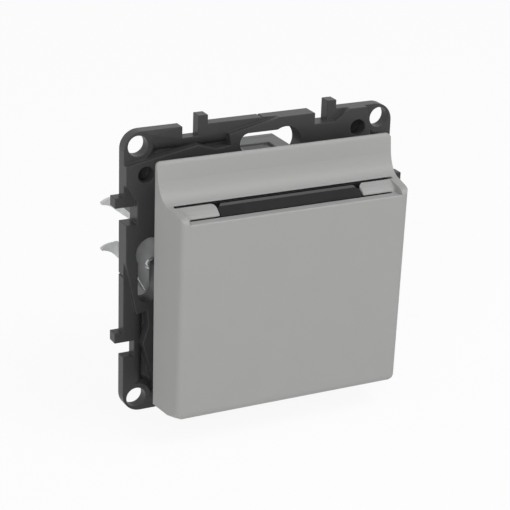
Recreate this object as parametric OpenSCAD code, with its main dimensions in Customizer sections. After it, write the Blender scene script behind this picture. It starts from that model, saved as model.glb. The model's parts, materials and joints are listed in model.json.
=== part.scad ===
// Hotel key card switch for a square wall box
// X to the right, Y into the wall, Z up; the wall surface is the plane y = 0

/* [Support frame] */
// Side of the square support frame
frame_side = 71; // [70.5:0.5:76]
// Radius of its outer corners
frame_corner_r = 4.5; // [2:0.5:5]
// Height of the outer rim above the wall
rim_h = 3.1; // [2.8:0.1:3.4]
// Height of the raised middle above the wall
plateau_h = 4.6; // [4.2:0.1:5]
// Height of the sunk floor beside the raised middle
floor_h = 1.5; // [1.4:0.1:2.2]
// Distance between neighbouring corner holes
corner_pitch = 64; // [63:0.1:64.2]
// Diameter of the corner holes
corner_hole_d = 5; // [4:0.1:5.1]
// Distance between opposite box screws
box_pitch = 60; // [59.5:0.25:61]
// Width of the narrow end of a keyhole
keyhole_slot_w = 4.8; // [4:0.1:5]
// Diameter of the wide end of a keyhole
keyhole_head_d = 8.2; // [7.6:0.1:8.4]
// Diameter of the blind marking holes
marking_hole_d = 4; // [3:0.1:4.4]
// Width of the notches in the outer edge
notch_w = 4; // [3:0.1:4.4]
// Depth of those notches
notch_depth = 2.8; // [2:0.1:3.1]
// Width of the coupling tabs beside the notches
tab_w = 2.5; // [2:0.1:3]
// How far the tabs stand past the outer edge
tab_reach = 2.2; // [1.5:0.1:3.5]
// How much further the tabs on the right reach
right_tab_extra = 1.7; // [0:0.1:2]
// Side of the square opening for the mechanism
opening_side = 46; // [45.5:0.1:46.5]

/* [Front cover] */
// Width of the cover at its rear edge
cover_w = 61.7; // [60.5:0.1:63]
// How much narrower each side is at the front
side_draft = 1.1; // [0.6:0.1:1.4]
// Distance from the wall to the rear edge of the cover
cover_back = 10.2; // [10.2:0.1:11]
// Distance from the wall to the middle of the front face
cover_front = 22.6; // [22.4:0.1:24]
// Lean of the front face in degrees
front_lean = 1.5; // [0.5:0.25:2]
// Height of the hood above the centre
hood_z = 30.4; // [30:0.1:31.5]
// Height of the front lip above the centre
lip_z = 19.5; // [19.3:0.1:20.2]
// Radius of the two upper corners of the hood
hood_corner_r = 1.1; // [0.6:0.1:2]
// Depth of the cover below the centre
cover_bottom = 30.8; // [30.2:0.1:32]
// Wall of the cover
cover_wall = 1.7; // [1.4:0.1:1.9]
// Width of the gap that the card goes through
card_gap = 1; // [0.9:0.05:1.2]
// Distance from the wall to the middle of the card
card_plane = 16.2; // [16.1:0.05:16.3]
// Length of the card gap
card_gap_len = 57.4; // [56.5:0.1:57.6]
// Length of the narrow gap behind the front lip
slit_len = 53; // [50:0.5:54]
// Width of that gap
slit_w = 0.6; // [0.4:0.05:0.7]
// Width of the dark lens
lens_w = 37.2; // [30:0.2:40]

/* [Card guide] */
// Width of the cards that the guide takes
card_w = 54; // [53:0.1:54.2]
// Depth below the centre at which the card stops
card_stop = 23.5; // [20:0.5:24]
// Wall of the guide in front of and behind the card
guide_wall = 1.5; // [1.2:0.1:1.6]

/* [Card lever] */
// Width of the lever
lever_w = 7.2; // [5:0.2:8]
// Height of the lever's pivot above the centre
pivot_z = 3.5; // [3:0.1:4]
// Distance from the wall to the pivot
pivot_back = 11.2; // [11:0.1:11.4]
// Diameter of the pivot pin
pivot_pin_d = 1.6; // [1.2:0.1:2]
// Swing of the lever when a card is in, in degrees
lever_swing = 7; // [5:0.5:7]

/* [Switch] */
// Diameter of the plunger
plunger_d = 3; // [2.4:0.1:3.2]
// Height of the plunger, below the centre
plunger_drop = 8; // [7.5:0.1:8.5]
// Height of the contact blade's root, below the centre
blade_root_drop = 16.8; // [16.5:0.1:17]
// Thickness of the contact blade
blade_t = 0.5; // [0.3:0.05:0.6]

/* [Rear housing] */
// Width of the housing between its side ribs
housing_w = 42.4; // [41.5:0.1:42.6]
// Height of the housing
housing_h = 45; // [44:0.2:45.2]
// Width of its top and bottom faces between the chamfers
housing_top_w = 31; // [28:0.5:33]
// Depth of the housing behind the wall
housing_depth = 19.5; // [18.5:0.5:22]
// Thickness of the rear cover
rear_cover_t = 2; // [1.8:0.1:2.6]
// Reach of the side ribs from the centre
rib_reach = 26; // [25.5:0.1:26.2]
// Diameter of the four wire holes
wire_hole_d = 3.8; // [3:0.1:4.2]
// Distance between neighbouring wire holes
wire_pitch = 8; // [7.4:0.1:8.2]
// Travel of the wire release buttons
button_travel = 1; // [0.6:0.1:1]
// Distance of the housing screws from the centre, along both sides
housing_screw_place = 17; // [16.6:0.1:17.2]

/* [Claws] */
// Distance of the claw screws from the centre
claw_screw_place = 25.3; // [25.2:0.05:25.4]
// Diameter of the claw screws
claw_screw_d = 3; // [2.5:0.1:3]
// Length of the claw screws under the head
claw_screw_len = 15.1; // [12:0.1:15.5]
// Distance of the claw hinges from the centre
claw_hinge_place = 22.8; // [22.7:0.05:22.9]
// Thickness of the claw's sheet metal
claw_t = 1.1; // [0.9:0.1:1.2]
// Distance from the wall to the teeth of the claws
claw_tip = 30.3; // [27:0.1:32]

/* [Clearances] */
// Gap between fixed pieces that slip into each other
slip = 0.25; // [0.2:0.01:0.28]
// Radial gap of a pin that turns in its hole
running = 0.05; // [0.03:0.01:0.08]
// Gap between a moving piece and what it rests against
rest_gap = 0.1; // [0.06:0.01:0.12]

/* [Hidden] */

// Fineness of round holes and pins
$fn = 48;
// Overrun of a cut past the surface that it opens
cut = 1;

// Support frame
frame_edge = frame_side / 2;
opening_chamfer = 4;
rim_flat = notch_depth;
slope_middle = 4.7;
slope_end = 5.3;
pad_edge = 1.3;
pad_slope = 3;
keyhole_head_x = 5.6;
keyhole_slot_x = -4.1;
notch_a_x = -20.8;
notch_b_x = 13.4;
marking_x = 25.3;
marking_inset = 5;
marking_depth = 3.4;
nick_w = 0.9;
nick_depth = 0.4;
rear_pocket_depth = 2;
rear_pockets = [[-22, -9, 4.6], [12, 22, 6]];
seat_depth = 1.2;

// Rear housing, carrier and the joint between them
join_y = -seat_depth;
carrier_half = opening_side / 2 - slip;
flange_half = 24.4;
flange_h = 5;
flange_front = -(plateau_h + flange_h);
guide_back = -(card_plane - card_gap / 2 - guide_wall);
card_play = 0.2;
guide_lip_front = -(card_plane - card_gap / 2 - 0.2);
guide_lip_back = guide_lip_front + 0.7;
guide_front = -(card_plane + card_gap / 2 + guide_wall + card_play);
channel_back = -(card_plane - card_gap / 2);
channel_front = -(card_plane + card_gap / 2 + card_play);
carrier_front_top = lip_z - 1;
lever_pocket_w = lever_w + 1.2;
lever_pocket_top = pivot_z + 3.7;
lever_pocket_bottom = -14.5;
lever_pocket_back = -7.8;
pin_reach = lever_pocket_w / 2 + 2.4;
core_place = 14.5;
core_half_w = 6;
core_half_h = 13;
housing_wall = 1.6;
housing_top_wall = 2.2;
recess_left = -9;
recess_right = 11.5;
recess_end = 15.4;
recess_depth = 0.9;
rib_low = 8.4;
rib_high = 12.3;
screw_boss_r = 2.6;
screw_shank_r = 1.1;
screw_head_r = 2.2;
screw_head_h = 1.2;
screw_tip_y = -6;
socket_w = 12;
socket_bottom = -27.8;
socket_front = -12;

// Cover
front_slope = tan(front_lean);
ceiling_z = lip_z - 1.6;
scoop_half = card_gap_len / 2 - 1;
slit_back = -(card_plane + 3.8);
slit_front = slit_back - slit_w;
lip_top = lip_z - 0.65;
bar_edge_z = lip_z - 0.47;
edge_t = 0.2;
hood_edge_under = lip_z + 1.44;
hood_undercut = 1.2;
bar_undercut = 2;
bar_end_gap = 0.25;
bar_end_r = 1;
corner_round = 1.8;
foot_round = 2.2;
foot_corner_r = 3.4;
foot_fade = 14;
hook_z = 14;
hook_h = 4;
hook_in = flange_half - 0.9;
hook_arm_in = flange_half + 0.15;
hook_arm_out = flange_half + 1.5;

// Card guide, lens and lamp
guide_side_gap = 0.1;
guide_half = cover_w / 2 - side_draft - cover_wall - guide_side_gap;
guide_top = ceiling_z - 0.4;
guide_bottom = -(card_stop + 1.5);
channel_half = card_w / 2 + card_play;
window_bottom = 9.3;
lamp_pocket_w = 4.8;
lamp_pocket_bottom = 5.5;
board_t = 0.8;
board_y = guide_front - 0.8;
board_half = 13;
board_top = 8;
board_bottom = -21.5;
tongue_w = 12;
tongue_bottom = -27;
board_peg_x = 9.5;
board_peg_z = [3, -17];
pin_x = 3;
pin_z = -26;
pin_r = 0.4;
pin_end_y = -8;

// Lever, plunger and contacts
hub_r = 2;
pad_r = 1;
pad_y = -(pivot_back - 0.6);
nose_y = channel_front + 0.3;
plunger_front = pad_y + pad_r + rest_gap;
plunger_arm = pivot_z + plunger_drop;
plunger_travel = plunger_arm * lever_swing * PI / 180;
collar_front = plunger_front + 1.9;
collar_t = 0.8;
collar_r = 2.3;
spring_seat_y = -3.2;
spring_outer_r = 2.2;
spring_inner_r = 1.75;
blade_y = 4;
blade_w = 4;
blade_top = -2.2;
blade_arm = blade_root_drop - plunger_drop;
blade_swing = plunger_travel / blade_arm * 180 / PI;
blade_root_r = 0.55;
rivet_r = 1.4;
rivet_z = -2.5 - 1.2;
rivet_t = 0.6;
contact_rest_gap = 3.35;
case_half_w = 6.5;
case_top = 2.5;
case_bottom = -19.8;
case_back = 10.5;
case_wall = 1;
tip_r = 1;
plunger_back = blade_y - blade_t / 2 - rest_gap;

// Terminals
wire_x = [for (i = [0:3]) (i - 1.5) * wire_pitch];
wire_z = 13.5;
button_z = 8;
button_w = 3.6;
button_h = 3.6;
button_out = 1.2;
button_front_y = 12.1;
button_flange = 0.6;
shelf_z = 3.5;
shelf_t = 1.1;
partition_t = 1;
terminal_front = 8;
rear_y = housing_depth + rear_cover_t;

// Claws
claw_plate_y = 2.2;
claw_hinge_y = 4.2;
claw_pin_r = 0.8;
claw_knuckle_r = 1.25;
claw_half = 6.8;
claw_knuckle_gap = 3;
claw_knuckle_h = 2.8;
claw_side_x = claw_hinge_place + 1.4;
claw_arm_low = 4.4;
claw_arm_high = 7.9;
claw_tooth_len = 3.7;
claw_outer = claw_screw_place + 4.9;
claw_head_r = 2.1;
claw_head_h = 2;
claw_slot_half = 0.65;
claw_slot_gap = 0.15;
tooth_step = 0.15;

frame_grey = [0.20, 0.20, 0.21];
carrier_black = [0.10, 0.10, 0.11];
cover_grey = [0.62, 0.62, 0.61];
housing_grey = [0.55, 0.56, 0.57];
steel = [0.75, 0.76, 0.78];
zinc = [0.80, 0.81, 0.80];
brass = [0.80, 0.65, 0.30];

// Extrudes an outline drawn in X and Z from y0 back to y1
module slab_y(y0, y1) {
    translate([0, y1, 0])
        rotate([90, 0, 0])
            linear_extrude(y1 - y0)
                children();
}

// Extrudes an outline drawn in Y and Z from x0 to x1
module slab_x(x0, x1) {
    translate([x0, 0, 0])
        rotate([90, 0, 90])
            linear_extrude(x1 - x0)
                children();
}

// Extrudes an outline drawn in X and Y from z0 up to z1
module slab_z(z0, z1) {
    translate([0, 0, z0])
        linear_extrude(z1 - z0)
            children();
}

// Box between two corners
module block(low, high) {
    translate(low)
        cube(high - low);
}

// Round bar along Y
module rod_y(x, z, y0, y1, r) {
    translate([x, y1, z])
        rotate([90, 0, 0])
            cylinder(h = y1 - y0, r = r);
}

// Round bar along X
module rod_x(y, z, x0, x1, r) {
    translate([x0, y, z])
        rotate([0, 90, 0])
            cylinder(h = x1 - x0, r = r);
}

// Square with round corners
module rounded_square(side, r) {
    square([side, side - 2 * r], center = true);
    square([side - 2 * r, side], center = true);
    for (sx = [-1, 1], sz = [-1, 1])
        translate([sx * (side / 2 - r), sz * (side / 2 - r)])
            circle(r);
}

// Turns a shape drawn at the top edge to all four edges
module on_each_side() {
    for (k = [0:3])
        rotate([0, 90 * k, 0])
            children();
}

// Points of a curve from a to c that is pulled towards b
function bend(a, b, c, n) = [
    for (i = [0:n])
        let (t = i / n)
            (1 - t) * (1 - t) * a + 2 * t * (1 - t) * b + t * t * c
];

// A point of an X and Z outline turned clockwise by k quarters
function quarter(p, k) = k == 0 ? p : quarter([p[1], -p[0]], k - 1);

// Front face of the cover at height z, lying d behind it
function front_y(z, d = 0) = -(cover_front - d) - z * front_slope;

// Edge of the raised middle along the top side, from left to right
plateau_border = [
    [-frame_edge - 0.5, frame_edge - 7.8],
    [-17.3, frame_edge - 4.5],
    [-12.7, frame_edge - 6],
    [-8.9, frame_edge - 5.5],
    [-9.4, frame_edge - 2.8],
    [6.3, frame_edge + 0.5],
    [notch_b_x, frame_edge + 0.5],
    [notch_b_x, frame_edge - notch_depth],
    [notch_b_x + notch_w + tab_w - 1, frame_edge - notch_depth],
    [notch_b_x + notch_w + tab_w + 3.8, frame_edge + 0.5]
];

// Where that edge starts on the left side, further in than on the other three
left_border_start = [-frame_edge - 0.5, frame_edge - 9.9];

// Height of the frame from its outer rim down to the sunk floor
rim_section = concat(
    [[0, frame_edge], [-rim_h, frame_edge]],
    bend([-rim_h, frame_edge - rim_flat], [-rim_h + 0.05, frame_edge - slope_middle],
        [-floor_h, frame_edge - slope_end], 7),
    [[-floor_h, opening_side / 2], [0, opening_side / 2]]
);

// Raised pad round a corner hole, with a sloping flank
module corner_pad() {
    r = corner_hole_d / 2 + pad_edge;
    translate([corner_pitch / 2, 0, corner_pitch / 2])
        rotate([90, 0, 0])
            cylinder(h = rim_h, r1 = r + pad_slope, r2 = r);
}

module keyhole_outline() {
    translate([keyhole_head_x, box_pitch / 2 - (keyhole_head_d - keyhole_slot_w) / 2 + 0.6])
        circle(keyhole_head_d / 2);
    translate([keyhole_slot_x, box_pitch / 2])
        circle(keyhole_slot_w / 2);
    translate([keyhole_slot_x, (box_pitch - keyhole_slot_w) / 2])
        square([keyhole_head_x - keyhole_slot_x, keyhole_slot_w]);
}

module notch_outline(x) {
    translate([x, frame_edge - notch_depth])
        square([notch_w, notch_depth + cut]);
}

module tab(x, extra) {
    block([x, -rim_h, frame_edge - notch_depth], [x + tab_w, 0, frame_edge + tab_reach + extra]);
}

module opening_outline() {
    h = opening_side / 2;
    c = h - opening_chamfer;
    polygon([[-h, -c], [-c, -h], [c, -h], [h, -c], [h, c], [c, h], [-c, h], [-h, c]]);
}

// Sunk seats in the rear face, where the ribs of the housing grip
module rib_seats() {
    for (sx = [-1, 1], sz = [-1, 1])
        translate([sx * (opening_side / 2 + rib_reach + slip) / 2, join_y / 2, sz * (rib_low + rib_high) / 2])
            cube([rib_reach + slip - opening_side / 2 + 1, seat_depth, rib_high - rib_low + 2 * slip], center = true);
}

module support_frame() {
    color(frame_grey)
        difference() {
            union() {
                intersection() {
                    slab_y(-plateau_h, 0)
                        rounded_square(frame_side, frame_corner_r);
                    union() {
                        on_each_side() {
                            slab_x(-frame_edge, frame_edge)
                                polygon(rim_section);
                            corner_pad();
                        }
                        slab_y(-plateau_h, 0)
                            polygon([for (k = [0:3]) for (i = [0:len(plateau_border) - 1])
                                quarter(k == 3 && i == 0 ? left_border_start : plateau_border[i], k)]);
                    }
                }
                for (k = [0:3])
                    rotate([0, 90 * k, 0])
                        for (x = [notch_a_x, notch_b_x])
                            tab(x + notch_w, k == 1 ? right_tab_extra : 0);
            }
            slab_y(-plateau_h - cut, cut)
                opening_outline();
            on_each_side() {
                slab_y(-plateau_h - cut, cut) {
                    keyhole_outline();
                    notch_outline(notch_a_x);
                    notch_outline(notch_b_x);
                    polygon([[-nick_w / 2, frame_edge + nick_depth], [nick_w / 2, frame_edge + nick_depth],
                        [0, frame_edge - nick_depth]]);
                }
                rod_y(corner_pitch / 2, corner_pitch / 2, -plateau_h - cut, cut, corner_hole_d / 2);
                rod_y(marking_x, frame_edge - marking_inset, -plateau_h - cut, -plateau_h + marking_depth,
                    marking_hole_d / 2);
                for (p = rear_pockets)
                    block([p[0], -rear_pocket_depth, opening_side / 2 + 2], [p[1], cut, opening_side / 2 + p[2]]);
            }
            for (sx = [-1, 1])
                rod_y(sx * claw_screw_place, 0, -plateau_h - cut, cut, claw_screw_d / 2 + slip);
            rib_seats();
        }
}

// Screw places shared by the carrier, the housing and the rear cover
module at_housing_screws() {
    for (sx = [-1, 1], sz = [-1, 1])
        translate([sx * housing_screw_place, 0, sz * housing_screw_place])
            children();
}

module mechanism_carrier() {
    color(carrier_black)
        difference() {
            union() {
                block([-carrier_half, flange_front, -carrier_half], [carrier_half, join_y, carrier_half]);
                block([-carrier_half, guide_back, -carrier_half], [carrier_half, flange_front, carrier_front_top]);
                block([-flange_half, flange_front, -flange_half], [flange_half, -plateau_h, flange_half]);
                block([-socket_w / 2, socket_front, socket_bottom], [socket_w / 2, flange_front + 3.6, -carrier_half]);
            }
            for (k = [0:3])
                rotate([0, 45 + 90 * k, 0])
                    block([-10, -plateau_h, (opening_side - opening_chamfer) * sqrt(0.5) - slip],
                        [10, cut, 50]);
            block([-lever_pocket_w / 2, guide_back - cut, lever_pocket_bottom],
                [lever_pocket_w / 2, lever_pocket_back, lever_pocket_top]);
            rod_x(-pivot_back, pivot_z, -pin_reach, pin_reach, pivot_pin_d / 2);
            rod_y(0, -plunger_drop, lever_pocket_back - cut, spring_seat_y, collar_r + 0.4);
            rod_y(0, -plunger_drop, spring_seat_y - cut, cut, plunger_d / 2 + running);
            for (sx = [-1, 1]) {
                translate([sx * core_place, 0, 0])
                    block([-core_half_w, guide_back - cut, -core_half_h], [core_half_w, spring_seat_y, core_half_h]);
                block([sx * (flange_half + carrier_half) / 2 - 1.2, flange_front - cut, -claw_head_r - 1],
                    [sx * (flange_half + carrier_half) / 2 + 1.2, -plateau_h + cut, claw_head_r + 1]);
                for (sz = [-1, 1])
                    translate([sx * (hook_in + 1), 0, sz * hook_z])
                        block([-1, -plateau_h - 2.8, -hook_h / 2 - slip], [1, -plateau_h - 1.2, hook_h / 2 + slip]);
                rod_y(sx * pin_x, pin_z, socket_front - cut, pin_end_y, pin_r + running);
            }
            at_housing_screws()
                rod_y(0, 0, screw_tip_y - 1, cut, screw_shank_r + running);
        }
}

// Outline of the cover from above at half height, shrunk by d all round
module cover_plan(d) {
    back = cover_w / 2 - d;
    front = cover_w / 2 - side_draft - d;
    y = front_y(0, d);
    r = max(corner_round - d, 0.3);
    corner = bend([front, y + r], [front, y], [front - r, y], 6);
    polygon(concat([[back, 0]], [[back, -cover_back]], corner,
        [for (i = [6:-1:0]) [-corner[i][0], corner[i][1]]], [[-back, -cover_back], [-back, 0]]));
}

// Shape between the two sides of the cover, leaning with its front face
module cover_prism(d) {
    rotate([front_lean, 0, 0])
        slab_z(-45, 45)
            cover_plan(d);
}

// Front view of the cover, with the round corners of the hood
module hood_outline() {
    half = cover_w / 2;
    r = hood_corner_r;
    translate([-half, -cover_bottom - cut])
        square([2 * half, cover_bottom + cut + hood_z - r]);
    translate([-half + r, 0])
        square([2 * (half - r), hood_z]);
    for (sx = [-1, 1])
        translate([sx * (half - r), hood_z - r])
            circle(r);
}

// Side view of the cover at its two side rims
rim_profile = concat(
    [[-cover_back, hood_z]],
    bend([-cover_back - 0.25, hood_z], [-cover_back - 1, hood_z], [-cover_back - 1.15, hood_z - 1.2], 4),
    bend([-cover_back - 1.7, lip_z + 6.4], [-cover_back - 2.9, lip_z + 1.45],
        [-cover_back - 7.3, lip_z + 1.45], 14),
    bend([front_y(lip_z, 2.6), lip_z + 1], [front_y(lip_z, 0.1), lip_z + 0.7], [front_y(lip_z), lip_z - 0.9], 6),
    [[-cover_front - 5, lip_z - 0.9], [-cover_front - 5, foot_round - cover_bottom]],
    bend([front_y(foot_round - cover_bottom) - 0.01, foot_round - cover_bottom],
        [front_y(-cover_bottom), -cover_bottom], [front_y(-cover_bottom, foot_round), -cover_bottom], 7),
    [[-cover_back, -cover_bottom]]
);

// Side view of the hollow inside the cover
hollow_profile = concat(
    [[0, hood_z - 6.8], [-cover_back - 0.6, hood_z - 6.8]],
    bend([-cover_back - 0.8, lip_z + 3.2], [-cover_back - 1.8, lip_z - 0.2], [-cover_back - 5.6, ceiling_z], 6),
    [[-cover_front - 5, ceiling_z], [-cover_front - 5, -cover_bottom + cover_wall],
        [0, -cover_bottom + cover_wall]]
);

// Side view of what is scooped out between the side rims, down to the bar and the lip
scoop_profile = [
    [-card_plane, hood_z],
    [-card_plane, lip_z + 1.65],
    [-card_plane - 1, lip_z + 1.3],
    [-card_plane - 2.3, lip_z + 0.75],
    [-card_plane - 3.3, lip_z + 0.1],
    [slit_back, bar_edge_z],
    [slit_front, lip_top],
    [front_y(lip_z, 0.3), lip_top],
    [front_y(lip_z, 0.1), lip_top - 0.1],
    [front_y(lip_z), lip_top - 0.35],
    [-cover_front - 5, lip_top - 0.35],
    [-cover_front - 5, hood_z]
];

// Outline from above of the place where the lens shows between the two bars
module lens_window() {
    half = lens_w / 2 + bar_end_gap;
    back = channel_back;
    polygon([[-half - bar_end_r, back], [half + bar_end_r, back], [half + bar_end_r, -card_plane - card_gap / 2],
        [half, -card_plane - card_gap / 2 - bar_end_r], [half, slit_back - 0.1],
        [-half, slit_back - 0.1], [-half, -card_plane - card_gap / 2 - bar_end_r],
        [-half - bar_end_r * 0.3, -card_plane - card_gap / 2 - bar_end_r * 0.3],
        [-half - bar_end_r, -card_plane - card_gap / 2]]);
}

// What is taken off a lower front corner of the cover, fading out towards its rear edge
module foot_corner_cut() {
    r = foot_corner_r;
    reach = 6;
    translate([cover_w / 2 - side_draft, front_y(-cover_bottom), -cover_bottom])
        rotate([-foot_fade, 0, -foot_fade])
            slab_y(-reach, 2 * reach)
                difference() {
                    translate([-r, -reach])
                        square(r + reach);
                    translate([-r, r])
                        circle(r);
                }
}

module cover_hook() {
    side = cover_w / 2 - 0.9;
    block([hook_arm_in, -cover_back - 3, -hook_h / 2], [hook_arm_out, -plateau_h - 1.3, hook_h / 2]);
    block([hook_arm_out - 0.2, -cover_back - 3, -hook_h / 2], [side - 0.2, -cover_back - 1, hook_h / 2]);
    slab_z(-hook_h / 2, hook_h / 2)
        polygon([[hook_arm_in + 0.1, -plateau_h - 1.3], [hook_arm_in + 0.1, -plateau_h - 2.6],
            [hook_in + 0.2, -plateau_h - 2.6]]);
}

module front_cover() {
    color(cover_grey)
        difference() {
            union() {
                difference() {
                    intersection() {
                        cover_prism(0);
                        slab_x(-cover_w, cover_w)
                            polygon(rim_profile);
                        slab_y(-cover_front - 5, 0)
                            hood_outline();
                    }
                    intersection() {
                        cover_prism(cover_wall);
                        slab_x(-cover_w, cover_w)
                            polygon(hollow_profile);
                    }
                }
                for (sx = [0, 1], sz = [-1, 1])
                    mirror([sx, 0, 0])
                        translate([0, 0, sz * hook_z])
                            cover_hook();
            }
            slab_x(-scoop_half, scoop_half)
                polygon(scoop_profile);
            block([-card_gap_len / 2, -card_plane - card_gap / 2, ceiling_z - cut],
                [card_gap_len / 2, channel_back, hood_z]);
            block([-card_gap_len / 2, channel_back - 0.1, ceiling_z - cut],
                [card_gap_len / 2, channel_back + hood_undercut, hood_edge_under]);
            block([-slit_len / 2, slit_front, ceiling_z - cut], [slit_len / 2, slit_back, hood_z]);
            block([-slit_len / 2, slit_back - 0.1, ceiling_z - cut],
                [slit_len / 2, slit_back + bar_undercut, bar_edge_z - edge_t]);
            slab_z(ceiling_z - cut, hood_z)
                lens_window();
            for (sx = [0, 1])
                mirror([sx, 0, 0])
                    foot_corner_cut();
        }
}

module card_guide() {
    color(carrier_black)
        difference() {
            union() {
                block([-guide_half, guide_front, guide_bottom], [guide_half, guide_back, guide_top]);
                block([-guide_half, guide_lip_front, guide_top - 1], [guide_half, guide_lip_back, hood_edge_under - 0.3]);
                for (sx = [-1, 1], z = board_peg_z)
                    rod_y(sx * board_peg_x, z, board_y, guide_front, 1.6);
                for (sx = [-1, 1], z = board_peg_z)
                    rod_y(sx * board_peg_x, z, board_y - board_t, guide_front, 0.8);
            }
            block([-channel_half, channel_front, -card_stop], [channel_half, channel_back, guide_top + cut]);
            block([-lens_w / 2 - bar_end_gap, guide_front - cut, window_bottom],
                [lens_w / 2 + bar_end_gap, channel_back, guide_top + cut]);
            block([-lamp_pocket_w / 2, guide_front - cut, lamp_pocket_bottom],
                [lamp_pocket_w / 2, channel_front - 0.3, window_bottom + cut]);
            block([-lever_pocket_w / 2, channel_back - cut, lever_pocket_bottom],
                [lever_pocket_w / 2, guide_back + cut, lever_pocket_top]);
            slab_x(-card_gap_len / 2, card_gap_len / 2)
                polygon([[channel_front - 0.3, guide_top + cut], [channel_front, guide_top - 1],
                    [channel_back, guide_top - 1], [channel_back, guide_top + cut]]);
        }
}

module light_lens() {
    top = lip_z + 1.4;
    back = channel_front - 0.02;
    front = slit_back + 0.1;
    color([0.05, 0.05, 0.055])
        intersection() {
            slab_x(-lens_w / 2, lens_w / 2)
                polygon([[back, window_bottom], [back, top - 0.1], [back - 0.1, top], [back - 0.6, top - 0.55],
                    [front + 0.3, lip_z - 0.3], [front, lip_z - 0.8], [front, ceiling_z], [guide_front, ceiling_z - 1.4],
                    [guide_front, window_bottom]]);
            slab_z(window_bottom - cut, lip_z + 3)
                polygon([[-lens_w / 2 + 1.2, back + cut], [lens_w / 2 - 1.2, back + cut], [lens_w / 2 - 1.2, back],
                    [lens_w / 2, back - 1.2], [lens_w / 2, front - cut], [-lens_w / 2, front - cut],
                    [-lens_w / 2, back - 1.2], [-lens_w / 2 + 1.2, back]]);
        }
}

module circuit_board() {
    color([0.10, 0.30, 0.16])
        difference() {
            union() {
                block([-board_half, board_y - board_t, board_bottom], [board_half, board_y, board_top]);
                block([-tongue_w / 2, board_y - board_t, tongue_bottom], [tongue_w / 2, board_y, board_bottom + 1]);
            }
            for (sx = [-1, 1], z = board_peg_z)
                rod_y(sx * board_peg_x, z, board_y - board_t - cut, board_y + cut, 0.8 + running);
            for (sx = [-1, 1])
                rod_y(sx * pin_x, pin_z, board_y - board_t - cut, board_y + cut, pin_r);
        }
}

// Small parts soldered to the back of the board
module board_parts() {
    color([0.15, 0.15, 0.16])
        for (p = [[-4, -2], [4, -2], [0, -8], [-5, -12], [5, -12]])
            translate([p[0], board_y, p[1]])
                block([-1.3, 0, -0.8], [1.3, 0.65, 0.8]);
}

module indicator_lamp() {
    color([0.92, 0.93, 0.95]) {
        block([-1.75, board_y, 5.9], [1.75, board_y + 1.5, 8.2]);
        translate([0, board_y + 0.75, 8.1])
            cylinder(h = 0.7, r = 0.7);
    }
}

module lamp_contact_pins() {
    color(brass)
        for (sx = [-1, 1])
            rod_y(sx * pin_x, pin_z, board_y - board_t, pin_end_y - 0.5, pin_r);
}

module card_lever() {
    half = lever_w / 2;
    color([0.85, 0.85, 0.82])
        difference() {
            union() {
                rod_x(-pivot_back, pivot_z, -half, half, hub_r);
                rod_x(pad_y, -plunger_drop, -half, half, pad_r);
                slab_x(-half, half)
                    polygon([[-pivot_back - 1.9, pivot_z], [-pivot_back - 2, pivot_z - 4], [nose_y + 0.4, -6.6],
                        [nose_y, -7.2], [nose_y, -8.2], [nose_y + 0.5, -9], [-pivot_back - 0.6, -plunger_drop - 2.6],
                        [pad_y, -plunger_drop - pad_r], [pad_y + pad_r, -plunger_drop], [pad_y + 0.7, pivot_z - 6],
                        [-pivot_back + 1.7, pivot_z - 1]]);
            }
            rod_x(-pivot_back, pivot_z, -half - cut, half + cut, pivot_pin_d / 2 + running);
        }
}

module lever_pivot_pin() {
    color(steel)
        rod_x(-pivot_back, pivot_z, -pin_reach, pin_reach, pivot_pin_d / 2);
}

module plunger() {
    color([0.85, 0.30, 0.18])
        union() {
            rod_y(0, -plunger_drop, plunger_front, plunger_back - 2.4, plunger_d / 2);
            rod_y(0, -plunger_drop, collar_front, collar_front + collar_t, collar_r);
            rod_y(0, -plunger_drop, plunger_back - 2.5, plunger_back - tip_r, tip_r);
            translate([0, plunger_back - tip_r, -plunger_drop])
                sphere(tip_r);
        }
}

module plunger_spring() {
    color(steel)
        difference() {
            rod_y(0, -plunger_drop, collar_front + collar_t, spring_seat_y, spring_outer_r);
            rod_y(0, -plunger_drop, collar_front - cut, spring_seat_y + cut, spring_inner_r);
        }
}

module switch_case() {
    w = case_half_w;
    t = case_wall;
    color([0.88, 0.87, 0.83])
        difference() {
            block([-w, join_y, case_bottom], [w, case_back, case_top]);
            block([-w + t, join_y + t, case_bottom + t], [w - t, case_back - t, case_top - t]);
            rod_y(0, -plunger_drop, join_y - cut, join_y + t + cut, plunger_d / 2 + slip);
            block([-blade_w / 2 - slip, case_back - t - cut, case_top - t - 0.8],
                [blade_w / 2 + slip, case_back + cut, case_top - t + 0.05]);
            block([-blade_w / 2 - slip, case_back - t - cut, case_bottom + t - 0.05],
                [blade_w / 2 + slip, case_back + cut, case_bottom + t + 0.8]);
        }
}

module contact_blade() {
    color(brass) {
        union() {
            block([-blade_w / 2, blade_y - blade_t / 2, -blade_root_drop], [blade_w / 2, blade_y + blade_t / 2, blade_top]);
            rod_x(blade_y, -blade_root_drop, -blade_w / 2, blade_w / 2, blade_root_r);
            rod_y(0, rivet_z, blade_y, blade_y + blade_t / 2 + rivet_t, rivet_r);
        }
    }
}

// Strip with the half-round seat that the blade rocks in
module common_contact() {
    t = 0.7;
    low = case_bottom + case_wall;
    color(brass)
        union() {
            block([-blade_w / 2, blade_y - 1.6, low], [blade_w / 2, case_back + 3, low + t]);
            difference() {
                block([-blade_w / 2, blade_y - 1.6, low], [blade_w / 2, blade_y + 1.6, -blade_root_drop + 0.1]);
                rod_x(blade_y, -blade_root_drop, -blade_w, blade_w, blade_root_r + running);
            }
        }
}

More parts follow.
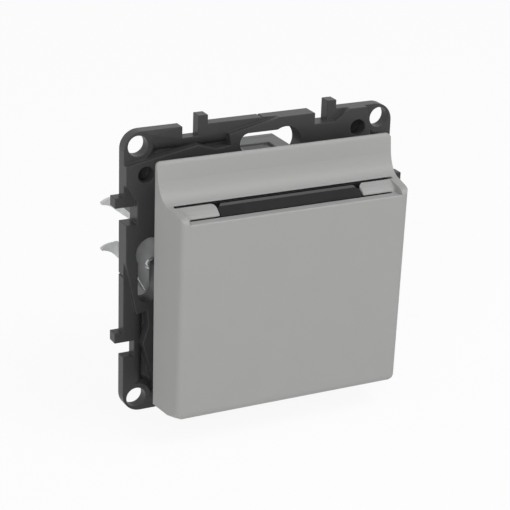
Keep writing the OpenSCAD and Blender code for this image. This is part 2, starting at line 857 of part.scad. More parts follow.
module fixed_contact() {
    t = 0.7;
    y = blade_y + contact_rest_gap;
    high = case_top - case_wall;
    color(brass)
        union() {
            rod_y(0, rivet_z, y, y + 0.8, rivet_r);
            block([-blade_w / 2, y + 0.7, rivet_z - 2.2], [blade_w / 2, y + 0.7 + t, high]);
            block([-blade_w / 2, y + 0.7, high - t], [blade_w / 2, case_back + 3, high]);
        }
}

// Outline of the housing from behind
module housing_outline(d = 0) {
    w = housing_w / 2 - d;
    h = housing_h / 2 - d;
    tw = housing_top_w / 2 - d * 0.45;
    sh = h - (w - tw) * 1.3;
    polygon([[-tw, -h], [tw, -h], [w, -sh], [w, sh], [tw, h], [-tw, h], [-w, sh], [-w, -sh]]);
}

module side_ribs() {
    for (sx = [0, 1], sz = [0, 1])
        mirror([sx, 0, 0])
            mirror([0, 0, sz])
                block([housing_w / 2 - 0.5, join_y, rib_low], [rib_reach, housing_depth, rib_high]);
}

module rear_housing() {
    inner_w = housing_w / 2 - housing_wall;
    inner_h = housing_h / 2 - housing_top_wall;
    wide = 2 * wire_pitch + partition_t / 2;
    color(housing_grey)
        difference() {
            union() {
                difference() {
                    slab_y(join_y, housing_depth)
                        housing_outline();
                    slab_y(join_y - cut, housing_depth + cut)
                        intersection() {
                            housing_outline(housing_wall);
                            square([2 * inner_w, 2 * inner_h], center = true);
                        }
                }
                side_ribs();
                intersection() {
                    slab_y(join_y, housing_depth)
                        housing_outline();
                    union() {
                        at_housing_screws()
                            rod_y(0, 0, join_y, housing_depth, screw_boss_r);
                        block([-wide, terminal_front, shelf_z], [wide, housing_depth, shelf_z + shelf_t]);
                        for (i = [-2:2])
                            translate([i * wire_pitch, 0, 0])
                                block([-partition_t / 2, terminal_front, shelf_z],
                                    [partition_t / 2, housing_depth, inner_h + 0.5]);
                    }
                }
            }
            block([recess_left, join_y - cut, housing_h / 2 - recess_depth],
                [recess_right, recess_end, housing_h / 2 + cut]);
            at_housing_screws()
                rod_y(0, 0, join_y - cut, housing_depth + cut, screw_shank_r + slip);
            for (sx = [-1, 1])
                translate([sx * claw_hinge_place, claw_hinge_y, -rib_high + 0.8])
                    cylinder(h = 2 * rib_high - 1.6, r = claw_pin_r);
        }
}

module rear_cover() {
    color([0.60, 0.61, 0.62])
        difference() {
            slab_y(housing_depth, rear_y)
                housing_outline();
            for (x = wire_x) {
                rod_y(x, wire_z, housing_depth - cut, rear_y + cut, wire_hole_d / 2);
                translate([x, 0, button_z])
                    block([-button_w / 2 - slip, housing_depth - cut, -button_h / 2 - slip],
                        [button_w / 2 + slip, rear_y + cut, button_h / 2 + slip]);
            }
            at_housing_screws() {
                rod_y(0, 0, housing_depth - cut, rear_y + cut, screw_shank_r + slip);
                rod_y(0, 0, rear_y - screw_head_h, rear_y + cut, screw_head_r + slip);
            }
        }
}

// One brass bar over each wire
module terminal_bars() {
    color(brass)
        difference() {
            for (x = wire_x)
                translate([x, 0, wire_z + wire_hole_d / 2 + 0.1])
                    block([-wire_pitch / 2 + partition_t / 2, terminal_front + 2, 0],
                        [wire_pitch / 2 - partition_t / 2, housing_depth - 0.3, 0.9]);
            at_housing_screws()
                rod_y(0, 0, terminal_front, housing_depth, screw_boss_r + slip);
        }
}

// One leaf spring under each wire
module clamp_springs() {
    t = 0.4;
    foot = shelf_z + shelf_t;
    color(steel)
        for (x = wire_x)
            translate([x, 0, 0])
                slab_x(-2, 2)
                    polygon([[terminal_front + 7, foot], [terminal_front + 7, foot + t], [terminal_front + 1.2, foot + t],
                        [terminal_front + 4.6, wire_z + 0.9], [terminal_front + 4.2, wire_z + 1.1],
                        [terminal_front + 0.4, foot]]);
}

module housing_screws() {
    color(steel)
        at_housing_screws()
            difference() {
                union() {
                    rod_y(0, 0, screw_tip_y, rear_y - screw_head_h + 0.1, screw_shank_r);
                    rod_y(0, 0, rear_y - screw_head_h, rear_y, screw_head_r);
                }
                for (turn = [0, 90])
                    rotate([0, turn, 0])
                        block([-1.3, rear_y - 0.7, -0.25], [1.3, rear_y + cut, 0.25]);
            }
}

module release_button(i) {
    color([0.92, 0.92, 0.90])
        translate([wire_x[i - 1], 0, button_z]) {
            block([-button_w / 2, button_front_y, -button_h / 2], [button_w / 2, rear_y + button_out, button_h / 2]);
            block([-button_w / 2 - button_flange, housing_depth - 1.6, -button_h / 2 - button_flange],
                [button_w / 2 + button_flange, housing_depth - rest_gap, button_h / 2 + button_flange]);
        }
}

// Front plate of the left claw, seen from the front
claw_plate = [
    [-claw_side_x + claw_t, -claw_half], [-claw_outer + 2.8, -claw_half], [-claw_outer + 1, -3.6],
    [-claw_outer, -1], [-claw_outer, claw_half - 1], [-claw_outer + 1, claw_half],
    [-claw_side_x + claw_t, claw_half]
];

// Upper arm of the claw, seen from the side
claw_arm = [
    [claw_plate_y, claw_knuckle_gap], [claw_plate_y, claw_half], [claw_plate_y + 4, claw_arm_high],
    [claw_tip, claw_arm_high], [claw_tip, claw_arm_low], [claw_plate_y + 16, claw_arm_low + 0.8],
    [claw_plate_y + 4, claw_knuckle_gap]
];

// Tooth bent outwards at the end of the upper arm, seen from behind
claw_tooth = concat(
    [[-claw_side_x + claw_t, claw_arm_high - tooth_step]],
    bend([-claw_side_x - 0.8, claw_arm_high - tooth_step], [-claw_side_x - 2.4, claw_arm_high - tooth_step - 0.1],
        [-claw_side_x - claw_tooth_len, claw_arm_high - 1.2], 5),
    bend([-claw_side_x - claw_tooth_len + 0.1, claw_arm_high - 1.7],
        [-claw_side_x - 1.4, claw_arm_high - 1.9], [-claw_side_x, claw_arm_low + tooth_step], 5),
    [[-claw_side_x + claw_t, claw_arm_low + tooth_step]]
);

module claw_shape() {
    difference() {
        union() {
            slab_y(claw_plate_y, claw_plate_y + claw_t)
                polygon(claw_plate);
            for (sz = [0, 1])
                mirror([0, 0, sz]) {
                    slab_x(-claw_side_x, -claw_side_x + claw_t)
                        polygon(claw_arm);
                    translate([-claw_hinge_place, claw_hinge_y, claw_knuckle_gap])
                        cylinder(h = claw_knuckle_h, r = claw_knuckle_r);
                }
            for (z = [0, -claw_arm_low - claw_arm_high])
                translate([0, 0, z])
                    slab_y(claw_tip - claw_t, claw_tip)
                        polygon(claw_tooth);
        }
        translate([-claw_hinge_place, claw_hinge_y, -claw_half - cut])
            cylinder(h = 2 * claw_half + 2 * cut, r = claw_pin_r + running);
        tilt_slot();
    }
}

// Open slot that lets the claw tilt on its screw
module tilt_slot() {
    r = claw_screw_d / 2 + claw_slot_gap;
    for (sx = [-1, 1])
        rod_y(-claw_screw_place + sx * claw_slot_half, 0, claw_plate_y - cut, claw_plate_y + claw_t + cut, r);
    block([-claw_screw_place - claw_slot_half, claw_plate_y - cut, -r],
        [-claw_screw_place + claw_slot_half, claw_plate_y + claw_t + cut, r]);
}

module left_claw() {
    color(zinc)
        claw_shape();
}

module right_claw() {
    color(zinc)
        rotate([0, 180, 0])
            claw_shape();
}

module claw_screw_shape() {
    head_y = -plateau_h - rest_gap;
    difference() {
        union() {
            rod_y(-claw_screw_place, 0, head_y - 0.1, head_y + claw_screw_len, claw_screw_d / 2);
            rod_y(-claw_screw_place, 0, head_y - claw_head_h, head_y, claw_head_r);
        }
        for (turn = [0, 90])
            translate([-claw_screw_place, 0, 0])
                rotate([0, turn, 0])
                    block([-1.3, head_y - claw_head_h - cut, -0.3], [1.3, head_y - claw_head_h + 1.1, 0.3]);
    }
}

module left_claw_screw() {
    color(steel)
        claw_screw_shape();
}

module right_claw_screw() {
    color(steel)
        rotate([0, 180, 0])
            claw_screw_shape();
}

module claw_pin_shape() {
    translate([-claw_hinge_place, claw_hinge_y, -rib_high + 0.8])
        cylinder(h = 2 * rib_high - 1.6, r = claw_pin_r);
}

module left_claw_pin() {
    color(steel)
        claw_pin_shape();
}

module right_claw_pin() {
    color(steel)
        rotate([0, 180, 0])
            claw_pin_shape();
}

support_frame();
mechanism_carrier();
front_cover();
card_guide();
light_lens();
circuit_board();
board_parts();
indicator_lamp();
lamp_contact_pins();
card_lever();
lever_pivot_pin();
plunger();
plunger_spring();
switch_case();
contact_blade();
common_contact();
fixed_contact();
rear_housing();
rear_cover();
terminal_bars();
clamp_springs();
housing_screws();
release_button(1);  // release_button_1
release_button(2);  // release_button_2
release_button(3);  // release_button_3
release_button(4);  // release_button_4
left_claw();
right_claw();
left_claw_screw();
right_claw_screw();
left_claw_pin();
right_claw_pin();
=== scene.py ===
import functools
import json
import math

import bmesh
import bpy
from mathutils import Matrix, Vector


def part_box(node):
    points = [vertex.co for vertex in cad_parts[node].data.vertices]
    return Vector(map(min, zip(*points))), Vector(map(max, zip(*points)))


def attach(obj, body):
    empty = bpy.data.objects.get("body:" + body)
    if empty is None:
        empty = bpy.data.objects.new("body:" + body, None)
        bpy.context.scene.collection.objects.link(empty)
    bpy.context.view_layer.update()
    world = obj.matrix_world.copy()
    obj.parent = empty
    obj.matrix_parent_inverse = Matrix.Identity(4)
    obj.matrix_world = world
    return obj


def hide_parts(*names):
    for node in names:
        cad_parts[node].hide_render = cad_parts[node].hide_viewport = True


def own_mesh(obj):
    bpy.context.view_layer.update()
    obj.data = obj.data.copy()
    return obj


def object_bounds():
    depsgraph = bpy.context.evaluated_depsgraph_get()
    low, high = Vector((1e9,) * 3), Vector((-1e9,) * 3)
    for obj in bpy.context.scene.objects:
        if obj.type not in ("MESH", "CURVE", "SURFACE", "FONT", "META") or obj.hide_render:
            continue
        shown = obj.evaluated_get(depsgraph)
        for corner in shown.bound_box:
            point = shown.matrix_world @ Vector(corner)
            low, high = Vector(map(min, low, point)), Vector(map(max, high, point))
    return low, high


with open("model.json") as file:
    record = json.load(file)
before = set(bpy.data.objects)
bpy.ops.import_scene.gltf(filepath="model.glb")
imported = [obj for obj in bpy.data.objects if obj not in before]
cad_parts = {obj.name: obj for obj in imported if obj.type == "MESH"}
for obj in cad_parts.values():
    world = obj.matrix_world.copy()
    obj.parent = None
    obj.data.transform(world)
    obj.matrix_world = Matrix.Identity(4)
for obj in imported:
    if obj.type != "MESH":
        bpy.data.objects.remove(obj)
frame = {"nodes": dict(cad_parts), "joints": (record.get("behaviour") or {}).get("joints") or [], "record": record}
cad_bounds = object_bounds()

bl_info = {
    "name": "Key Card Switch",
    "version": (1, 0, 0),
    "blender": (4, 5, 0),
    "location": "3D View > Sidebar > Key Card Switch",
    "description": "Finishes and fine details for a hotel key card switch",
    "category": "Object",
}

MM = 0.001
MAIN_BODY = "switch_body"
BUTTONS = ["release_button_%d" % i for i in range(1, 5)]
SIDES = ("left", "right")

# Rounding of a group of pieces, as a share of the edge radius in the settings
LENS_ROUNDING = 0.6
INNER_ROUNDING = 0.7
HOUSING_ROUNDING = 1.4
SMALL_METAL_ROUNDING = 0.4
TERMINAL_ROUNDING = 0.5

# Edges that turn by more than these angles are rounded, and shown as creases
ROUNDED_ANGLE = math.radians(32)
CREASE_ANGLE = math.radians(35)

# Vertices closer than this are one, before the edges are rounded and after
SEAM_GAP = 0.001 * MM
CORNER_GAP = 0.0002 * MM

# Solder joint, wire collar and screw sizes
SOLDER_RADIUS = 0.9 * MM
SOLDER_HEIGHT = 0.55 * MM
PIN_INSET = 0.4 * MM
WIRE_HOLE_RADIUS = 1.9 * MM
WIRE_HOLE_GAP = 0.1 * MM
CLAW_HEAD_HEIGHT = 2 * MM
CLAW_SHANK_RADIUS = 1.5 * MM
COVER_HEAD_RADIUS = 2.2 * MM
COVER_HEAD_HEIGHT = 1.2 * MM
COVER_SHANK_RADIUS = 1.1 * MM

# A wire collar's outline: how far out from the hole's wall, and how far up from the rear face
COLLAR_OUTLINE = [(out * MM, up * MM) for out, up in (
    (0.05, -0.3), (0.1, 0.1), (0.3, 0.4), (0.55, 0.45), (0.75, 0.35), (0.85, 0.1), (0.9, -0.3))]

# A screw head's flat top, and the reach and half width of its cross at the face and at the
# bottom, as shares of the head's radius
HEAD_FLAT = 0.62
CROSS_TOP = (0.52, 0.13)
CROSS_BOTTOM = (0.4, 0.1)

# The dome and the cross of a screw head, as shares of the head's height
DOME_HEIGHT = 0.35
CROSS_DEPTH = 0.55

# A thread's depth and its tapered end, as shares of its pitch, and how wide the end is left
THREAD_DEPTH = 0.3
TAPER_LENGTH = 1.2
TIP_WIDTH = 0.65

# Turns of the plunger spring
SPRING_TURNS = 5.5

# Share of plain white in the floor where it is the background, and half its width in metres
FLOOR_GLOW = 0.92
FLOOR_HALF = 3.0

# Each lamp's place and width in metres, and the setting that holds its power
LAMPS = {
    "top_lamp": ((0.35, -0.45, 0.85), 0.5, "top_power"),
    "key_lamp": ((0.55, -1.0, 0.25), 0.8, "key_power"),
    "fill_lamp": ((-0.68, -0.82, 0.3), 0.8, "fill_power"),
}

# Sockets of a Mix node that is set to colours
MIX_FACTOR, MIX_FIRST, MIX_SECOND, MIX_RESULT = 0, 6, 7, 2


# Settings

class PlasticSettings(bpy.types.PropertyGroup):
    """Colours and surfaces of the moulded plastic pieces"""

    cover: bpy.props.FloatVectorProperty(
        name="Cover", description="Colour of the front cover", subtype="COLOR",
        min=0, max=1, default=(0.335, 0.335, 0.33))
    frame: bpy.props.FloatVectorProperty(
        name="Frame", description="Colour of the support frame", subtype="COLOR",
        min=0, max=1, default=(0.047, 0.047, 0.048))
    housing: bpy.props.FloatVectorProperty(
        name="Housing", description="Colour of the rear housing", subtype="COLOR",
        min=0, max=1, default=(0.135, 0.137, 0.14))
    lens: bpy.props.FloatVectorProperty(
        name="Lens", description="Colour of the smoked lens", subtype="COLOR",
        min=0, max=1, default=(0.011, 0.011, 0.012))
    carrier: bpy.props.FloatVectorProperty(
        name="Carrier", description="Colour of the inner carrier and the card guide",
        subtype="COLOR", min=0, max=1, default=(0.014, 0.014, 0.015))
    grain: bpy.props.FloatProperty(
        name="Grain", description="Size of the grain of the mould", unit="LENGTH",
        min=0.00005, max=0.002, default=0.25 * MM)
    edge: bpy.props.FloatProperty(
        name="Edge radius", description="Rounding of the moulded edges", unit="LENGTH",
        min=0.00005, max=0.0005, default=0.15 * MM)


class MetalSettings(bpy.types.PropertyGroup):
    """Colours and sizes of the metal pieces"""

    zinc: bpy.props.FloatVectorProperty(
        name="Zinc", description="Colour of the plated claws", subtype="COLOR",
        min=0, max=1, default=(0.6, 0.61, 0.61))
    steel: bpy.props.FloatVectorProperty(
        name="Steel", description="Colour of screws, pins and springs", subtype="COLOR",
        min=0, max=1, default=(0.56, 0.57, 0.59))
    brass: bpy.props.FloatVectorProperty(
        name="Brass", description="Colour of the contacts and bars", subtype="COLOR",
        min=0, max=1, default=(0.72, 0.52, 0.22))
    thread_pitch: bpy.props.FloatProperty(
        name="Thread pitch", description="Pitch of the screw threads", unit="LENGTH",
        min=0.0003, max=0.001, default=0.5 * MM)
    spring_wire: bpy.props.FloatProperty(
        name="Spring wire", description="Wire diameter of the plunger spring", unit="LENGTH",
        min=0.0002, max=0.0006, default=0.4 * MM)
    edge: bpy.props.FloatProperty(
        name="Edge radius", description="Rounding of the metal edges", unit="LENGTH",
        min=0.00002, max=0.0003, default=0.12 * MM)


class StageSettings(bpy.types.PropertyGroup):
    """Floor, lights and camera"""

    floor: bpy.props.FloatVectorProperty(
        name="Floor", description="Colour of the floor", subtype="COLOR",
        min=0, max=1, default=(0.9, 0.9, 0.9))
    ambient: bpy.props.FloatProperty(
        name="Ambient", description="Strength of the light from all round",
        min=0, max=2, default=0.4)
    top_power: bpy.props.FloatProperty(
        name="Top light", description="Power of the light from above", unit="POWER",
        min=0, max=100, default=4.2)
    key_power: bpy.props.FloatProperty(
        name="Key light", description="Power of the light from the front right", unit="POWER",
        min=0, max=100, default=0.6)
    fill_power: bpy.props.FloatProperty(
        name="Fill light", description="Power of the light from the left", unit="POWER",
        min=0, max=100, default=5.2)
    focal: bpy.props.FloatProperty(
        name="Focal length", description="Focal length of the camera", unit="CAMERA",
        min=20, max=300, default=128.4)
    camera_place: bpy.props.FloatVectorProperty(
        name="Camera place", description="Where the camera stands", subtype="TRANSLATION",
        unit="LENGTH", default=(-190.10 * MM, -369.63 * MM, 162.12 * MM))
    camera_turn: bpy.props.FloatVectorProperty(
        name="Camera turn", description="Pitch, roll and yaw of the camera", subtype="EULER",
        unit="ROTATION", default=(math.radians(21.39), math.radians(1.90), math.radians(27.31)))


# Shader building

class Wire:
    """A node socket that can stand in a Python expression."""

    def __init__(self, finish, socket):
        self.finish = finish
        self.socket = socket

    def maths(self, operation, first, second):
        """A Math node on two wires, or on a wire and a number."""
        return self.finish.node("ShaderNodeMath", {"operation": operation}, {0: first, 1: second})

    def __add__(self, other):
        return self.maths("ADD", self, other)

    def __sub__(self, other):
        return self.maths("SUBTRACT", self, other)

    def __rsub__(self, other):
        return self.maths("SUBTRACT", other, self)

    def __mul__(self, other):
        return self.maths("MULTIPLY", self, other)

    __radd__ = __add__
    __rmul__ = __mul__


class Finish:
    """The nodes of a material or a world that is being built."""

    def __init__(self, owner):
        self.owner = owner
        owner.use_nodes = True
        self.tree = owner.node_tree
        self.tree.nodes.clear()

    @functools.cached_property
    def place(self):
        """The place on the piece, in its own frame."""
        return self.node("ShaderNodeTexCoord", {}, {}, "Object")

    def node(self, kind, settings, sockets, output=0):
        """A node with its settings made first, then its socket values and links."""
        made = self.tree.nodes.new(kind)
        for key, value in settings.items():
            if key == "stops":
                self.set_stops(made.color_ramp, value)
            else:
                setattr(made, key, value)
        for key, value in sockets.items():
            if isinstance(value, Wire):
                self.tree.links.new(value.socket, made.inputs[key])
            else:
                made.inputs[key].default_value = value
        return Wire(self, made.outputs[output]) if made.outputs else None

    @staticmethod
    def set_stops(ramp, stops):
        """Puts grey stops, given as (position, shade), on a colour ramp."""
        while len(ramp.elements) < len(stops):
            ramp.elements.new(1.0)
        for element, (position, shade) in zip(ramp.elements, stops):
            element.position = position
            element.color = (shade, shade, shade, 1)

    def noise(self, size, detail=2.0, stretch=(1, 1, 1)):
        """Noise whose lumps are about size across, drawn out along some axes."""
        place = self.place
        if tuple(stretch) != (1, 1, 1):
            scale = [1 / s for s in stretch]
            place = self.node("ShaderNodeMapping", {}, {"Vector": place, "Scale": scale})
        return self.node(
            "ShaderNodeTexNoise", {}, {"Vector": place, "Scale": 1 / size, "Detail": detail})

    def ramp(self, value, *stops):
        """A value sent through a ramp of (position, shade) stops."""
        return self.node("ShaderNodeValToRGB", {"stops": stops}, {"Fac": value})

    def mix(self, factor, first, second):
        """The first colour where the factor is 0, the second where it is 1."""
        return self.node(
            "ShaderNodeMix", {"data_type": "RGBA"},
            {MIX_FACTOR: factor, MIX_FIRST: first, MIX_SECOND: second}, MIX_RESULT)

    def bump(self, height, depth):
        """A normal for relief of some depth."""
        return self.node("ShaderNodeBump", {}, {"Height": height, "Distance": depth})

    def shade(self, **sockets):
        """Ends a material in a surface with these sockets, and returns the material."""
        named = {key.replace("_", " "): value for key, value in sockets.items()}
        surface = self.node("ShaderNodeBsdfPrincipled", {}, named)
        self.node("ShaderNodeOutputMaterial", {}, {"Surface": surface})
        return self.owner


def tint(colour, factor):
    """A colour made lighter or darker, with its alpha."""
    return tuple(min(c * factor, 1) for c in colour) + (1,)


def moulded(name, colour, roughness, grain, depth=0.006 * MM, mottle=0.05, fleck=0.0, gloss=0.5,
            coat=0.0):
    """Moulded plastic: fine grain, faint clouds of shade, and flecks where it has a filler."""
    f = Finish(bpy.data.materials.new(name))
    clouds = f.noise(7 * MM, 3)
    fine = f.noise(grain, 3)
    shade = f.mix(clouds, tint(colour, 1 - mottle), tint(colour, 1 + mottle))
    if fleck:
        specks = f.ramp(f.noise(grain * 0.6, 1), (0.62, 0), (0.72, 1))
        shade = f.mix(specks * fleck, shade, tint(colour, 1.9))
    return f.shade(
        Base_Color=shade,
        Roughness=roughness + (fine - 0.5) * 0.12 + (clouds - 0.5) * 0.08,
        IOR=1.45,
        Specular_IOR_Level=gloss,
        Coat_Weight=coat,
        Coat_Roughness=0.2,
        Normal=f.bump(fine, depth))


def metal(name, colour, roughness, stretch=(1, 1, 1), spangle=0.1, metallic=1.0):
    """Metal with fine scratches along one axis and soft patches in its plating."""
    f = Finish(bpy.data.materials.new(name))
    patches = f.noise(2.2 * MM, 2)
    scratches = f.noise(0.12 * MM, 3, stretch)
    return f.shade(
        Base_Color=f.mix(patches, tint(colour, 1 - spangle), tint(colour, 1 + spangle)),
        Metallic=metallic,
        Roughness=scratches * 0.2 + patches * 0.15 + (roughness - 0.17),
        Normal=f.bump(scratches, 0.004 * MM))


def smoked(name, colour):
    """Smooth smoked plastic with a faint haze."""
    f = Finish(bpy.data.materials.new(name))
    haze = f.noise(3 * MM, 3)
    return f.shade(
        Base_Color=f.mix(haze, tint(colour, 0.8), tint(colour, 1.3)),
        Roughness=haze * 0.1 + 0.17,
        IOR=1.27,
        Normal=f.bump(f.noise(0.8 * MM, 2), 0.003 * MM))


def board(name):
    """Green solder mask over copper tracks."""
    f = Finish(bpy.data.materials.new(name))
    black, white = (0, 0, 0, 1), (1, 1, 1, 1)
    flat = f.node(
        "ShaderNodeMapping", {}, {"Vector": f.place, "Rotation": (math.pi / 2, 0, 0)})
    tracks = f.node(
        "ShaderNodeTexBrick", {"offset": 0.37, "squash": 1.0},
        {"Vector": flat, "Scale": 1 / (4 * MM), "Mortar Size": 0.05,
         "Color1": black, "Color2": black, "Mortar": white})
    mask = f.mix(f.noise(2 * MM, 2), (0.012, 0.075, 0.03, 1), (0.02, 0.1, 0.045, 1))
    return f.shade(
        Base_Color=f.mix(tracks, mask, (0.05, 0.19, 0.08, 1)),
        Roughness=f.noise(0.5 * MM, 2) * 0.15 + 0.22,
        Normal=f.bump(tracks, 0.03 * MM))


def finishes(context):
    """All finishes by name, made once."""
    plastic = context.scene.switch_plastic
    metals = context.scene.switch_metal
    grain = plastic.grain
    recipes = {
        "cover_plastic": lambda n: moulded(n, plastic.cover, 0.5, grain, mottle=0.02),
        "frame_plastic": lambda n: moulded(
            n, plastic.frame, 0.42, grain, depth=0.01 * MM, mottle=0.1, fleck=0.3, gloss=0.2,
            coat=0.1),
        "carrier_plastic": lambda n: moulded(
            n, plastic.carrier, 0.42, grain, depth=0.01 * MM, mottle=0.1, fleck=0.2),
        "housing_plastic": lambda n: moulded(
            n, plastic.housing, 0.55, grain, depth=0.012 * MM, mottle=0.06, fleck=0.15),
        "lens_plastic": lambda n: smoked(n, plastic.lens),
        "board_green": board,
        "chip_black": lambda n: moulded(n, (0.03, 0.03, 0.03), 0.4, grain, mottle=0.2),
        "lamp_clear": lambda n: moulded(n, (0.8, 0.82, 0.86), 0.2, grain, depth=0.002 * MM),
        "contact_brass": lambda n: metal(n, metals.brass, 0.32, (1, 8, 1)),
        "spring_steel": lambda n: metal(n, metals.steel, 0.28, (1, 1, 6)),
        "screw_steel": lambda n: metal(n, metals.steel, 0.34, (6, 1, 6)),
        "claw_zinc": lambda n: metal(n, metals.zinc, 0.42, (1, 10, 1), spangle=0.22, metallic=0.1),
        "case_ivory": lambda n: moulded(n, (0.7, 0.68, 0.6), 0.5, grain),
        "lever_white": lambda n: moulded(n, (0.72, 0.72, 0.69), 0.4, grain),
        "plunger_red": lambda n: moulded(n, (0.62, 0.1, 0.05), 0.4, grain),
        "button_white": lambda n: moulded(n, (0.75, 0.75, 0.72), 0.42, grain),
    }
    return {slot: bpy.data.materials.get("fine_" + slot) or make("fine_" + slot)
            for slot, make in recipes.items()}


# Fine edges and new pieces

def slot_of(node):
    """The material slot that the record gives a node."""
    return next(s["material_slot"] for s in frame["record"]["subparts"] if s["node"] == node)


def dress(context, node, edge):
    """Gives a CAD node its finish and rounds its sharp edges."""
    obj = frame["nodes"][node]
    obj.data.materials.clear()
    obj.data.materials.append(finishes(context)[slot_of(node)])
    for polygon in obj.data.polygons:
        polygon.material_index = 0
    obj.modifiers.new("join_seams", "WELD").merge_threshold = SEAM_GAP
    ease = obj.modifiers.new("eased_edges", "BEVEL")
    ease.width = edge
    ease.segments = 2
    ease.limit_method = "ANGLE"
    ease.angle_limit = ROUNDED_ANGLE
    ease.use_clamp_overlap = False
    ease.loop_slide = False
    ease.miter_outer = "MITER_SHARP"
    obj.modifiers.new("join_corners", "WELD").merge_threshold = CORNER_GAP
    obj.modifiers.new("even_shading", "WEIGHTED_NORMAL").keep_sharp = True


def dress_all(context, nodes, edge):
    """Dresses several CAD nodes with the same rounding."""
    for node in nodes:
        dress(context, node, edge)


def add_piece(context, name, mesh, slot, body):
    """Turns a finished bmesh into a piece that rides on a body."""
    bmesh.ops.recalc_face_normals(mesh, faces=mesh.faces)
    data = bpy.data.meshes.new(name)
    mesh.to_mesh(data)
    mesh.free()
    data.materials.append(finishes(context)[slot])
    data.shade_smooth()
    obj = bpy.data.objects.new(name, data)
    context.scene.collection.objects.link(obj)
    data.set_sharp_from_angle(angle=CREASE_ANGLE)
    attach(obj, body)
    return obj


def ring(mesh, centre, radius, y, sides):
    """A ring of vertices round an axis along Y."""
    x, z = centre
    turn = 2 * math.pi / sides
    return [mesh.verts.new((x + radius * math.cos(k * turn), y, z + radius * math.sin(k * turn)))
            for k in range(sides)]


def bridge(mesh, first, second):
    """Faces between two rings of as many vertices."""
    count = len(first)
    for k in range(count):
        mesh.faces.new((first[k], first[(k + 1) % count], second[(k + 1) % count], second[k]))


def lathe(mesh, centre, profile, sides=48, closed=False):
    """Turns a profile of (radius, y) points round an axis along Y."""
    rings = [ring(mesh, centre, radius, y, sides) for radius, y in profile]
    for first, second in zip(rings, rings[1:]):
        bridge(mesh, first, second)
    if closed:
        bridge(mesh, rings[-1], rings[0])
    return rings


def tube(mesh, path, radius, sides=12):
    """A round tube along a path, closed at both ends."""
    rings = []
    turn = 2 * math.pi / sides
    for i, point in enumerate(path):
        ahead = path[min(i + 1, len(path) - 1)] - path[max(i - 1, 0)]
        across = ahead.cross(Vector((0, 1, 0))).normalized()
        up = across.cross(ahead).normalized()
        spokes = [math.cos(k * turn) * across + math.sin(k * turn) * up for k in range(sides)]
        rings.append([mesh.verts.new(point + radius * spoke) for spoke in spokes])
    for first, second in zip(rings, rings[1:]):
        bridge(mesh, first, second)
    mesh.faces.new(rings[0])
    mesh.faces.new(rings[-1])


def cross(mesh, centre, y, reach, half):
    """A loop of twelve vertices round a cross, its arms along X and Z."""
    quarter = [(reach, -half), (reach, half), (half, half)]
    loop = []
    for k in range(4):
        c, s = round(math.cos(k * math.pi / 2)), round(math.sin(k * math.pi / 2))
        loop += [mesh.verts.new((centre[0] + c * x - s * z, y, centre[1] + s * x + c * z))
                 for x, z in quarter]
    return loop


def closed_edges(mesh, verts):
    """The edges of a loop of vertices, made where they are missing."""
    pairs = zip(verts, verts[1:] + verts[:1])
    return [mesh.edges.get(pair) or mesh.edges.new(pair) for pair in pairs]


def fill_between(mesh, first, second):
    """Flat faces between two loops of vertices in one plane."""
    edges = closed_edges(mesh, first) + closed_edges(mesh, second)
    bmesh.ops.triangle_fill(mesh, use_beauty=True, edges=edges)


def screw(mesh, centre, face, seat, tip, head_r, shank_r, pitch, sides=36):
    """A screw with a domed cross head, and its thread from the seat of the head to the tip."""
    inward = 1 if tip > face else -1
    height = abs(seat - face)
    dome = DOME_HEIGHT * height
    flat_r = HEAD_FLAT * head_r
    steps = 5
    rings = [ring(mesh, centre, flat_r, face, sides)]
    for i in range(1, steps + 1):
        a = i / steps * math.pi / 2
        rings.append(ring(mesh, centre, flat_r + (head_r - flat_r) * math.sin(a),
                          face + inward * dome * (1 - math.cos(a)), sides))
    rings.append(ring(mesh, centre, head_r, seat, sides))
    for first, second in zip(rings, rings[1:]):
        bridge(mesh, first, second)
    bottom = face + inward * CROSS_DEPTH * height
    top = cross(mesh, centre, face, *(share * head_r for share in CROSS_TOP))
    low = cross(mesh, centre, bottom, *(share * head_r for share in CROSS_BOTTOM))
    fill_between(mesh, top, rings[0])
    bridge(mesh, top, low)
    mesh.faces.new(low)
    thread(mesh, centre, seat, tip, shank_r, pitch, rings[-1])


def thread(mesh, centre, start, tip, radius, pitch, head_ring, sides=24, per_turn=6):
    """A threaded shank from the head's underside to a short pointed tip."""
    inward = 1 if tip > start else -1
    length = abs(tip - start)
    depth = THREAD_DEPTH * pitch
    count = int(length / pitch * per_turn)
    taper = TAPER_LENGTH * pitch
    rings = []
    for i in range(count + 1):
        along = i / count * length
        scale = min(1.0, (length - along) / taper * (1 - TIP_WIDTH) + TIP_WIDTH)
        row = []
        for k in range(sides):
            turn = k / sides
            ridge = abs(2 * ((along / pitch - turn) % 1.0) - 1)
            r = (radius - depth * ridge) * scale
            x = centre[0] + r * math.cos(2 * math.pi * turn)
            z = centre[1] + r * math.sin(2 * math.pi * turn)
            row.append(mesh.verts.new((x, start + inward * along, z)))
        rings.append(row)
    for first, second in zip(rings, rings[1:]):
        bridge(mesh, first, second)
    mesh.faces.new(rings[-1])
    fill_between(mesh, head_ring, rings[0])


def middle(node):
    """The middle of a node's box."""
    low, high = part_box(node)
    return (low + high) / 2


# Operators

class SWITCH_OT_frame(bpy.types.Operator):
    """Dresses the support frame"""

    bl_idname = "key_switch.frame"
    bl_label = "Support frame"

    def execute(self, context):
        dress(context, "support_frame", context.scene.switch_plastic.edge)
        return {"FINISHED"}


class SWITCH_OT_cover(bpy.types.Operator):
    """Dresses the front cover"""

    bl_idname = "key_switch.cover"
    bl_label = "Front cover"

    def execute(self, context):
        dress(context, "front_cover", context.scene.switch_plastic.edge)
        return {"FINISHED"}


